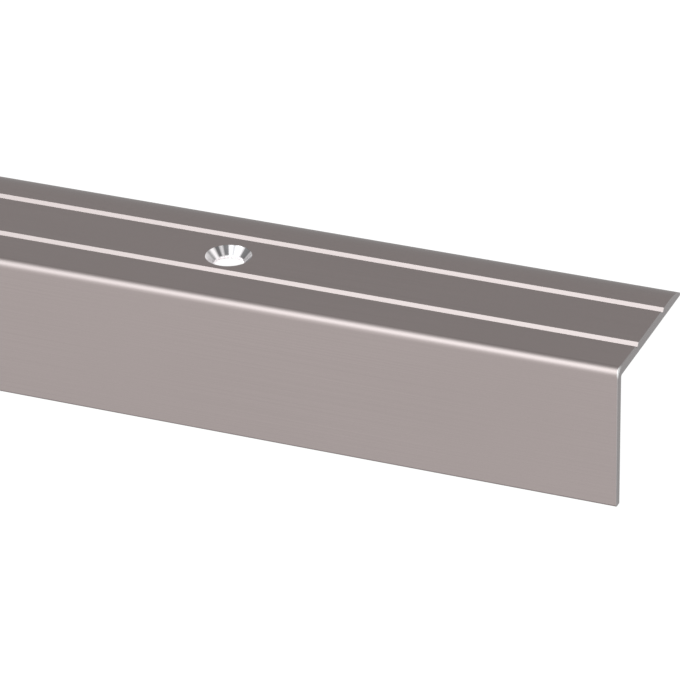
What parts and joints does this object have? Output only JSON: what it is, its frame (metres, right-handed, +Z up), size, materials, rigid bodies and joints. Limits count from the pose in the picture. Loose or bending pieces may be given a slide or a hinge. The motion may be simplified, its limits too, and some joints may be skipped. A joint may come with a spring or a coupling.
{
  "type": "stair nosing",
  "caption": "Satin aluminium angle that caps the edge of a stair step, with a rounded nose, grooves along a tread that thins out at the back, and countersunk screw holes.",
  "frame": {"origin": "centre of the bottom of the bounding box, on the floor under the strip at half its length", "axes": "+X along the strip, +Y towards the back edge of the tread flange, +Z up; the strip lies on its two free edges with the nose uppermost"},
  "size_m": [1, 0.0402, 0.0207],
  "materials": {
    "anodised_aluminium": "satin anodised, warm grey, with bare cut ends and bare countersinks"
  },
  "bodies": {
    "root": {"stair_nosing": "anodised_aluminium"}
  },
  "joints": []
}
